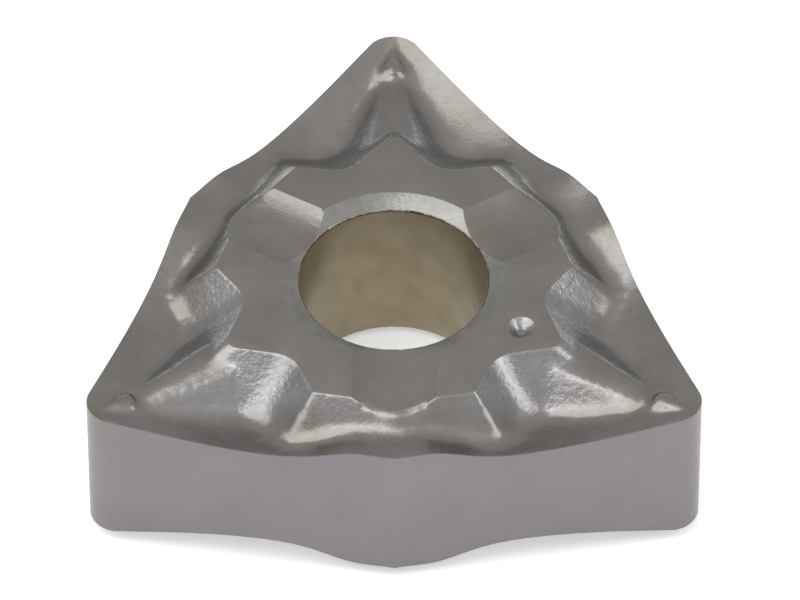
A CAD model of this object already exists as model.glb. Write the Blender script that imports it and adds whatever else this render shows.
"""Finish, light and camera for a double-sided carbide turning insert with a pressed chipbreaker.

Metres, in the CAD frame: origin in the middle of the bore, +Z along it, one corner along +Y.
"""
import math

import bmesh
import bpy
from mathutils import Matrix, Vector


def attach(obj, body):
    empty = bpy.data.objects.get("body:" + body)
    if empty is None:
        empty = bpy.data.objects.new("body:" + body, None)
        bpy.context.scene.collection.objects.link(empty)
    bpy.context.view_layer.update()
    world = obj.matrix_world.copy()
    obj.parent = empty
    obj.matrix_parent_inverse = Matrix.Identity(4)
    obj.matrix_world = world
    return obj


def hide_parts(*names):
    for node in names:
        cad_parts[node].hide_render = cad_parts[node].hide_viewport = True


MM = 0.001


def plan_way(bearing):
    """Direction in plan at a bearing in degrees from +X."""
    return math.cos(math.radians(bearing)), math.sin(math.radians(bearing))


# ---- where the insert's faces lie --------------------------------------------------------------
BORE_RADIUS = 2.58 * MM
RIM_RADIUS = 3.10 * MM         # outer radius of the bore's lead-in
SEAT_HEIGHT = 2.56 * MM        # seat above the mid-plane
SIDE_DISTANCE = 6.35 * MM      # sides of the insert from the bore axis
CORNER_TURNS = (90, 210, 330)  # bearing of each corner, from +X
SIDE_TURN = 50                 # a side faces this far to either hand of its corner's bearing
CORNER_WAYS = [plan_way(turn) for turn in CORNER_TURNS]
SIDE_WAYS = [plan_way(turn + side) for turn in CORNER_TURNS for side in (-SIDE_TURN, SIDE_TURN)]
RAKE_REACH = 1.0 * MM          # smooth rake beside the cutting edge
GROOVE_REACH = 3.4 * MM        # the groove reaches this far in from the sides
NOSE_DEPTH = 0.5 * MM          # a corner's round lies within this of its sides' lines
CHANNEL_DEPTH = 0.19 * MM

# ---- how a face or an edge is known, by how much of its normal is vertical ---------------------
NEAR_RADIUS = 0.02 * MM        # a face this near a radius or a height lies on it
NEAR_HEIGHT = 0.01 * MM
UPRIGHT = 0.03                 # flanks
BORE_WALL_RISE = 0.2           # bore wall below this, lead-in above it
LEAD_IN_RISE = 0.99
SEAT_FACE_RISE = 0.995
SEAT_EDGE_RISE = 0.999
BURR_RISE = (0.1, 0.9)

# ---- mesh work on the groove and the edges -----------------------------------------------------
MERGE = 0.001 * MM
SHARP = math.radians(16)       # edges sharper than this stay edges
SHORTEST_EDGE = 0.018 * MM
DIVIDE_STEPS = 5
LONG_EDGE = 0.14 * MM
EVEN_ANGLE = math.radians(5)
FOLD_STEP = 0.5                # how far one smoothing step moves a point
FOLD_PASSES = [                # depth below the seat, reach towards a corner from and to, repeats
    (0.10 * MM, 0, 10 * MM, 5),
    (0.30 * MM, 0, 10 * MM, 9),
    (0.55 * MM, 0, 10 * MM, 9),
    (0.30 * MM, 7.85 * MM, 8.55 * MM, 14),
]
RIM_ROUND = 0.040 * MM
ROUND_SEGMENTS = 2
CRISP_SHARE = 0.5              # seat outline and cutting edge, as a share of the rim's round
CRISP_ANGLE = math.radians(23)

# ---- finishes: their places in the body's list, and what tints them ----------------------------
PRESSED, SEAT, FLANK, BORE_WALL, LEAD_IN, BURR = range(6)
NOSE_TINT_START = 8.6 * MM     # corners take a warmer tint over this stretch
NOSE_TINT_SPAN = 0.7 * MM
WALL_LEAN = 20                 # degrees of slope at which the walls start to look mottled
LEAN_SPAN = 14
GRAIN_SHADE = (0.90, 0.90, 0.90)
PIT_SHADE = (0.80, 0.80, 0.82)
NOSE_TINT = (1.02, 1.01, 0.95)
NOISE_LAYERS = [               # what it feeds, its size, detail, roughness, and range that is spread out
    ("Grain", "Grain size", 2.0, 0.6, 0.25, 0.75),
    ("Mottle", "Mottle size", 3.0, 0.6, 0.35, 0.65),
    ("Clouds", "Cloud size", 4.0, 0.55, 0.30, 0.70),
]

# ---- floor and light: dome level by the sine of the elevation; softboxes by bearing from the front,
# ---- elevation, width and brightness -----------------------------------------------------------
FLOOR_SIZE = 1.2
FLOOR_GAP = 0.005 * MM         # keeps the floor clear of the seat that lies on it
FLOOR_SHADE = (0.86, 0.86, 0.86, 1)
FLOOR_ROUGHNESS = 0.9
FLOOR_GLOW = 0.42
HORIZON = 0.58
ZENITH = 0.95
DOME_LEVELS = [(0.30, 0.62), (0.75, 0.76)]
LAMP_DISTANCE = 0.4
SOFTBOXES = [
    ("left_window", -78, 62, 0.38, 1.55),
    ("right_window", 76, 45, 0.20, 1.75),
    ("front_fill", -15, 72, 0.16, 0.6),
]

# ---- camera ------------------------------------------------------------------------------------
CAMERA_TARGET = Vector((0.172, 1.423, 0.0)) * MM
CAMERA_ELEVATION = 47.005
CAMERA_AZIMUTH = -0.149
CAMERA_DISTANCE = 258.18 * MM
CAMERA_LENS = 422.88
SENSOR_WIDTH = 36
CLIP_START = 0.01
CLIP_END = 5


def deselect():
    """Leaves nothing selected, so the next operator acts on its own piece alone."""
    if bpy.context.object and bpy.context.object.mode != "OBJECT":
        bpy.ops.object.mode_set(mode="OBJECT")
    bpy.ops.object.select_all(action="DESELECT")


def pick(piece):
    """Selects one piece and makes it the active one."""
    deselect()
    piece.select_set(True)
    bpy.context.view_layer.objects.active = piece


def within_one(value):
    """The value, held between 0 and 1."""
    return min(max(value, 0), 1)


# ---- materials ---------------------------------------------------------------------------------
def new_group(name, ins, outs):
    """Node group with its named sockets."""
    group = bpy.data.node_groups.new(name, "ShaderNodeTree")
    for label, kind, value in ins:
        group.interface.new_socket(label, in_out="INPUT", socket_type=kind).default_value = value
    for label, kind in outs:
        group.interface.new_socket(label, in_out="OUTPUT", socket_type=kind)
    return group, group.nodes.new("NodeGroupInput"), group.nodes.new("NodeGroupOutput")


def pressed_grain():
    """Sintered grain under a coating: fine grain, mottled pits and soft cloudy patches."""
    group, inside, out = new_group(
        "pressed_grain",
        [("Grain size", "NodeSocketFloat", 0.05), ("Mottle size", "NodeSocketFloat", 0.2),
         ("Cloud size", "NodeSocketFloat", 0.8)],
        [("Grain", "NodeSocketFloat"), ("Mottle", "NodeSocketFloat"), ("Clouds", "NodeSocketFloat")])
    nodes, links = group.nodes, group.links
    place = nodes.new("ShaderNodeTexCoord")
    for result, size_name, detail, rough, low, high in NOISE_LAYERS:
        per_metre = nodes.new("ShaderNodeMath")
        per_metre.operation = "DIVIDE"
        per_metre.inputs[0].default_value = 1 / MM
        links.new(inside.outputs[size_name], per_metre.inputs[1])
        noise = nodes.new("ShaderNodeTexNoise")
        noise.inputs["Detail"].default_value = detail
        noise.inputs["Roughness"].default_value = rough
        links.new(place.outputs["Object"], noise.inputs["Vector"])
        links.new(per_metre.outputs[0], noise.inputs["Scale"])
        spread = nodes.new("ShaderNodeMapRange")
        spread.inputs["From Min"].default_value = low
        spread.inputs["From Max"].default_value = high
        links.new(noise.outputs["Fac"], spread.inputs["Value"])
        links.new(spread.outputs["Result"], out.inputs[result])
    return group


def coated(name, group, dark, light, metal, rough, rough_swing, relief, sizes, steep=None):
    """Coated carbide: a cloudy two-tone colour, a little grain, and relief in the normal.

    relief is (grain height, mottle height) in millimetres; sizes are (grain, mottle, cloud). steep is
    the tint and added mottle height on steep walls.
    """
    mat = bpy.data.materials.new(name)
    mat.use_nodes = True
    nodes, links = mat.node_tree.nodes, mat.node_tree.links
    shader = nodes["Principled BSDF"]
    shader.inputs["Metallic"].default_value = metal
    fill = nodes.new("ShaderNodeGroup")
    fill.node_tree = group
    for label, size in zip(("Grain size", "Mottle size", "Cloud size"), sizes):
        fill.inputs[label].default_value = size

    def scaled(value, factor):
        node = nodes.new("ShaderNodeMath")
        node.operation = "MULTIPLY"
        links.new(value, node.inputs[0])
        if isinstance(factor, float):
            node.inputs[1].default_value = factor
        else:
            links.new(factor, node.inputs[1])
        return node.outputs[0]

    def total(first, second):
        node = nodes.new("ShaderNodeMath")
        node.operation = "ADD"
        links.new(first, node.inputs[0])
        links.new(second, node.inputs[1])
        return node.outputs[0]

    def tinted(share, base, tint):
        node = nodes.new("ShaderNodeMix")
        node.data_type = "RGBA"
        node.blend_type = "MULTIPLY"
        links.new(share, node.inputs["Factor"])
        links.new(base, node.inputs["A"])
        node.inputs["B"].default_value = (*tint, 1)
        return node.outputs["Result"]

    tone = nodes.new("ShaderNodeMix")
    tone.data_type = "RGBA"
    tone.inputs["A"].default_value = (*dark, 1)
    tone.inputs["B"].default_value = (*light, 1)
    links.new(fill.outputs["Clouds"], tone.inputs["Factor"])
    colour = tinted(fill.outputs["Grain"], tone.outputs["Result"], GRAIN_SHADE)
    grain_height = scaled(fill.outputs["Grain"], relief[0] * MM)
    mottle_height = scaled(fill.outputs["Mottle"], relief[1] * MM)
    height = total(grain_height, mottle_height)
    if steep:
        wall_tint, wall_height = steep
        wall = nodes.new("ShaderNodeAttribute")
        wall.attribute_name = "steepness"
        colour = tinted(wall.outputs["Fac"], colour, wall_tint)
        pits = scaled(fill.outputs["Mottle"], wall.outputs["Fac"])
        colour = tinted(pits, colour, PIT_SHADE)
        height = total(height, scaled(pits, wall_height * MM))
    corner = nodes.new("ShaderNodeAttribute")
    corner.attribute_name = "nose"
    colour = tinted(corner.outputs["Fac"], colour, NOSE_TINT)
    links.new(colour, shader.inputs["Base Color"])
    spread = nodes.new("ShaderNodeMapRange")
    spread.inputs["To Min"].default_value = rough - rough_swing
    spread.inputs["To Max"].default_value = rough + rough_swing
    links.new(fill.outputs["Mottle"], spread.inputs["Value"])
    links.new(spread.outputs["Result"], shader.inputs["Roughness"])
    bump = nodes.new("ShaderNodeBump")
    bump.inputs["Strength"].default_value = 1.0
    bump.inputs["Distance"].default_value = 1.0
    links.new(height, bump.inputs["Height"])
    links.new(bump.outputs["Normal"], shader.inputs["Normal"])
    return mat


# ---- places on the insert ----------------------------------------------------------------------
def side_depth(point):
    """How far inside the insert's nearest side a point lies."""
    return SIDE_DISTANCE - max(point.x * x + point.y * y for x, y in SIDE_WAYS)


def corner_reach(point):
    """How far a point lies towards its nearest corner."""
    return max(point.x * x + point.y * y for x, y in CORNER_WAYS)


def zone(face):
    """Which finish a face has, from where it lies and which way it faces."""
    middle = face.calc_center_median()
    radius = math.hypot(middle.x, middle.y)
    rise = abs(face.normal.z)
    if radius < BORE_RADIUS + NEAR_RADIUS and rise < BORE_WALL_RISE:
        return BORE_WALL
    if radius < RIM_RADIUS + NEAR_RADIUS and BORE_WALL_RISE < rise < LEAD_IN_RISE:
        return LEAD_IN
    if rise > SEAT_FACE_RISE and abs(middle.z) > SEAT_HEIGHT - NEAR_HEIGHT:
        return SEAT
    if rise < UPRIGHT and side_depth(middle) < NOSE_DEPTH:
        return FLANK
    return PRESSED


def in_groove(face):
    """Whether a face lies in the groove's reach below the seat: walls, scoops, ridges, channel ends."""
    middle = face.calc_center_median()
    within = side_depth(middle) < GROOVE_REACH and abs(middle.z) < SEAT_HEIGHT - MERGE
    return within and (abs(face.normal.z) > UPRIGHT or side_depth(middle) > NOSE_DEPTH)


# ---- mesh work ---------------------------------------------------------------------------------
def select_groove(piece, depth, near, far):
    """Selects the groove's inner points at least so deep, between two distances towards a corner."""
    bpy.ops.mesh.select_mode(type="VERT")
    bpy.ops.mesh.select_all(action="DESELECT")
    work = bmesh.from_edit_mesh(piece.data)
    for vertex in work.verts:
        if abs(vertex.co.z) < SEAT_HEIGHT - depth and near < corner_reach(vertex.co) < far:
            if vertex.link_faces and all(in_groove(face) for face in vertex.link_faces):
                vertex.select_set(True)
    work.select_flush_mode()
    bmesh.update_edit_mesh(piece.data)


def divide_groove(piece):
    """Cuts the groove's long edges in half once, and evens out the triangles that this leaves."""
    bpy.ops.mesh.select_mode(type="EDGE")
    work = bmesh.from_edit_mesh(piece.data)
    bpy.ops.mesh.select_all(action="DESELECT")
    for face in work.faces:
        if in_groove(face):
            for edge in face.edges:
                if edge.calc_length() > LONG_EDGE:
                    edge.select_set(True)
    bmesh.update_edit_mesh(piece.data)
    bpy.ops.mesh.subdivide(number_cuts=1)
    bpy.ops.mesh.select_all(action="SELECT")
    bpy.ops.mesh.quads_convert_to_tris()
    select_groove(piece, 0, 0, FOLD_PASSES[0][2])
    bpy.ops.mesh.beautify_fill(angle_limit=EVEN_ANGLE)


def work_groove(piece):
    """Divides the groove's long edges, then softens its folds, more so further below the seat."""
    pick(piece)
    bpy.ops.object.mode_set(mode="EDIT")
    for _ in range(DIVIDE_STEPS):
        divide_groove(piece)
    select_groove(piece, *FOLD_PASSES[0][:3])
    bpy.ops.mesh.remove_doubles(threshold=SHORTEST_EDGE)
    for depth, near, far, repeats in FOLD_PASSES:
        select_groove(piece, depth, near, far)
        bpy.ops.mesh.vertices_smooth(factor=FOLD_STEP, repeat=repeats)
    bpy.ops.object.mode_set(mode="OBJECT")


def rounding(edge):
    """Share of the widest rounding that an edge gets: the bore's rim all of it, other crisp edges less."""
    if len(edge.link_faces) != 2 or edge.calc_face_angle(0) < SHARP:
        return 0
    if edge.calc_length() < SHORTEST_EDGE:
        return 0
    middle = (edge.verts[0].co + edge.verts[1].co) / 2
    if math.hypot(middle.x, middle.y) < BORE_RADIUS + MERGE:
        return 1
    if edge.calc_face_angle(0) < CRISP_ANGLE:
        return 0
    rises = sorted(abs(face.normal.z) for face in edge.link_faces)
    on_seat = rises[1] > SEAT_EDGE_RISE or abs(middle.z) > SEAT_HEIGHT - CHANNEL_DEPTH
    return CRISP_SHARE if on_seat or rises[0] < UPRIGHT else 0


def round_edges(piece):
    """Narrow polished round on the sharp edges."""
    skin = bmesh.new()
    skin.from_mesh(piece.data)
    weight = skin.edges.layers.float.new("bevel_weight_edge")
    for edge in skin.edges:
        edge[weight] = rounding(edge)
    skin.to_mesh(piece.data)
    skin.free()
    edge_round = piece.modifiers.new("edge_round", "BEVEL")
    edge_round.limit_method = "WEIGHT"
    edge_round.width = RIM_ROUND
    edge_round.segments = ROUND_SEGMENTS
    edge_round.use_clamp_overlap = False
    pick(piece)
    bpy.ops.object.modifier_apply(modifier="edge_round")


def mark_slopes(piece):
    """Stores how steep the skin stands, for the mottled walls, and how near a corner it is."""
    steepness = piece.data.attributes.new("steepness", "FLOAT", "POINT")
    nose = piece.data.attributes.new("nose", "FLOAT", "POINT")
    for vertex, steep_share, nose_share in zip(piece.data.vertices, steepness.data, nose.data):
        lean = math.degrees(math.acos(min(abs(vertex.normal.z), 1)))
        share = within_one((lean - WALL_LEAN) / LEAN_SPAN)
        share *= within_one(side_depth(vertex.co) / RAKE_REACH - 1)
        steep_share.value = share * share * (3 - 2 * share)
        nose_share.value = within_one((corner_reach(vertex.co) - NOSE_TINT_START) / NOSE_TINT_SPAN)


def even_shading(piece):
    """Smooth shading up to the sharp edges, with normals that flat faces lead."""
    pick(piece)
    bpy.ops.object.shade_smooth_by_angle(angle=SHARP)
    even = piece.modifiers.new("even_normals", "WEIGHTED_NORMAL")
    even.keep_sharp = True
    bpy.ops.object.modifier_apply(modifier="even_normals")


def mark_burr(piece):
    """Gives the round on the bore's rim the speckled finish of its burr."""
    for face in piece.data.polygons:
        on_rim = BORE_RADIUS < math.hypot(face.center.x, face.center.y) < BORE_RADIUS + RIM_ROUND
        if on_rim and BURR_RISE[0] < abs(face.normal.z) < BURR_RISE[1]:
            face.material_index = BURR


# ---- scene -------------------------------------------------------------------------------------
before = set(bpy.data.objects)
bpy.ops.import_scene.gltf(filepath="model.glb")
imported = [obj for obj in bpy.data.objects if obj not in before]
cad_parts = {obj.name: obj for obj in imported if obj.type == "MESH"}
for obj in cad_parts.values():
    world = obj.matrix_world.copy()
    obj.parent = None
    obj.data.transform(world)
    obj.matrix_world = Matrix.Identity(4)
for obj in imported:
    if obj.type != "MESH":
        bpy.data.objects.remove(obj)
bpy.context.view_layer.update()

# ---- insert ------------------------------------------------------------------------------------
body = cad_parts["insert"].copy()
body.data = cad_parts["insert"].data.copy()
body.name = body.data.name = "pressed_insert"
bpy.context.scene.collection.objects.link(body)
for key in [k for k in body.keys() if k.startswith("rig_")]:
    del body[key]
pick(body)
bpy.ops.mesh.customdata_custom_splitnormals_clear()
bpy.ops.object.mode_set(mode="EDIT")
bpy.ops.mesh.select_all(action="SELECT")
bpy.ops.mesh.remove_doubles(threshold=MERGE)
bpy.ops.object.mode_set(mode="OBJECT")

grain = pressed_grain()
finishes = [
    coated("pressed_carbide", grain, dark=(0.216, 0.202, 0.180), light=(0.262, 0.250, 0.244),
           metal=0.92, rough=0.23, rough_swing=0.05, relief=(0.0010, 0.0012),
           sizes=(0.06, 0.16, 1.3), steep=((1.42, 1.45, 1.56), 0.0036)),
    coated("seat_carbide", grain, dark=(0.202, 0.191, 0.174), light=(0.226, 0.214, 0.200),
           metal=0.85, rough=0.42, rough_swing=0.04, relief=(0.0012, 0.0004), sizes=(0.05, 0.15, 1.4)),
    coated("flank_carbide", grain, dark=(0.215, 0.197, 0.210), light=(0.232, 0.213, 0.228),
           metal=0.90, rough=0.34, rough_swing=0.03, relief=(0.0004, 0.0003), sizes=(0.05, 0.25, 2.0)),
    coated("bore_carbide", grain, dark=(0.295, 0.252, 0.165), light=(0.375, 0.322, 0.228),
           metal=0.80, rough=0.36, rough_swing=0.05, relief=(0.0010, 0.0010), sizes=(0.06, 0.2, 0.8)),
    coated("rim_carbide", grain, dark=(0.228, 0.221, 0.207), light=(0.300, 0.293, 0.277),
           metal=0.92, rough=0.26, rough_swing=0.05, relief=(0.0012, 0.0020), sizes=(0.06, 0.16, 0.6)),
    coated("burr_carbide", grain, dark=(0.03, 0.028, 0.024), light=(0.42, 0.40, 0.34),
           metal=0.90, rough=0.30, rough_swing=0.05, relief=(0.0030, 0.0030), sizes=(0.05, 0.12, 0.22)),
]
body.data.materials.clear()
for finish in finishes:
    body.data.materials.append(finish)

skin = bmesh.new()
skin.from_mesh(body.data)
for face in skin.faces:
    face.material_index = zone(face)
skin.to_mesh(body.data)
skin.free()

work_groove(body)
round_edges(body)
mark_slopes(body)
even_shading(body)
mark_burr(body)

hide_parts("insert")
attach(body, "root")

# ---- floor -------------------------------------------------------------------------------------
deselect()
bpy.ops.mesh.primitive_plane_add(size=FLOOR_SIZE, location=(0, 0, -SEAT_HEIGHT - FLOOR_GAP))
floor = bpy.context.object
floor.name = "pale_floor"
paper = bpy.data.materials.new("pale_paper")
paper.use_nodes = True
paper_shader = paper.node_tree.nodes["Principled BSDF"]
paper_shader.inputs["Base Color"].default_value = FLOOR_SHADE
paper_shader.inputs["Roughness"].default_value = FLOOR_ROUGHNESS
paper_shader.inputs["Emission Color"].default_value = (1, 1, 1, 1)
paper_shader.inputs["Emission Strength"].default_value = FLOOR_GLOW
floor.data.materials.append(paper)


# ---- light -------------------------------------------------------------------------------------
def view_way(azimuth, elevation):
    """Direction from the insert at a bearing from the front and an elevation, in degrees."""
    turn, tilt = math.radians(azimuth), math.radians(elevation)
    return Vector((math.sin(turn) * math.cos(tilt), -math.cos(turn) * math.cos(tilt), math.sin(tilt)))


def stand(name, data, spot, way):
    """Puts a lamp or the camera at a spot, looking back along a direction."""
    holder = bpy.data.objects.new(name, data)
    bpy.context.scene.collection.objects.link(holder)
    holder.location = spot
    holder.rotation_euler = way.to_track_quat("Z", "Y").to_euler()
    return holder


def studio_dome():
    """Soft dome: dim towards the horizon, brighter overhead."""
    world = bpy.data.worlds.new("studio")
    bpy.context.scene.world = world
    world.use_nodes = True
    nodes, links = world.node_tree.nodes, world.node_tree.links
    place = nodes.new("ShaderNodeTexCoord")
    split = nodes.new("ShaderNodeSeparateXYZ")
    links.new(place.outputs["Generated"], split.inputs["Vector"])
    ramp = nodes.new("ShaderNodeValToRGB")
    ramp.color_ramp.interpolation = "EASE"
    for end, level in enumerate((HORIZON, ZENITH)):
        ramp.color_ramp.elements[end].position = end
        ramp.color_ramp.elements[end].color = (level, level, level, 1)
    for height, level in DOME_LEVELS:
        stop = ramp.color_ramp.elements.new(height)
        stop.color = (level, level, level, 1)
    links.new(split.outputs["Z"], ramp.inputs["Fac"])
    links.new(ramp.outputs["Color"], nodes["Background"].inputs["Color"])
    nodes["Background"].inputs["Strength"].default_value = 1.0


def softbox(name, azimuth, elevation, size, radiance):
    """Square soft light at a bearing, aimed at the piece; its power follows from how bright it looks."""
    lamp = bpy.data.lights.new(name, "AREA")
    lamp.size = size
    lamp.energy = radiance * math.pi * size * size
    way = view_way(azimuth, elevation)
    stand(name, lamp, way * LAMP_DISTANCE, way)


studio_dome()
for lamp_name, azimuth, elevation, size, radiance in SOFTBOXES:
    softbox(lamp_name, azimuth, elevation, size, radiance)

# ---- camera ------------------------------------------------------------------------------------
lens = bpy.data.cameras.new("camera")
lens.sensor_width = SENSOR_WIDTH
lens.lens = CAMERA_LENS
lens.clip_start = CLIP_START
lens.clip_end = CLIP_END
back = view_way(CAMERA_AZIMUTH, CAMERA_ELEVATION)
camera = stand("camera", lens, CAMERA_TARGET + back * CAMERA_DISTANCE, back)
bpy.context.scene.camera = camera
bpy.context.scene.view_settings.view_transform = "Standard"

bpy.context.view_layer.update()
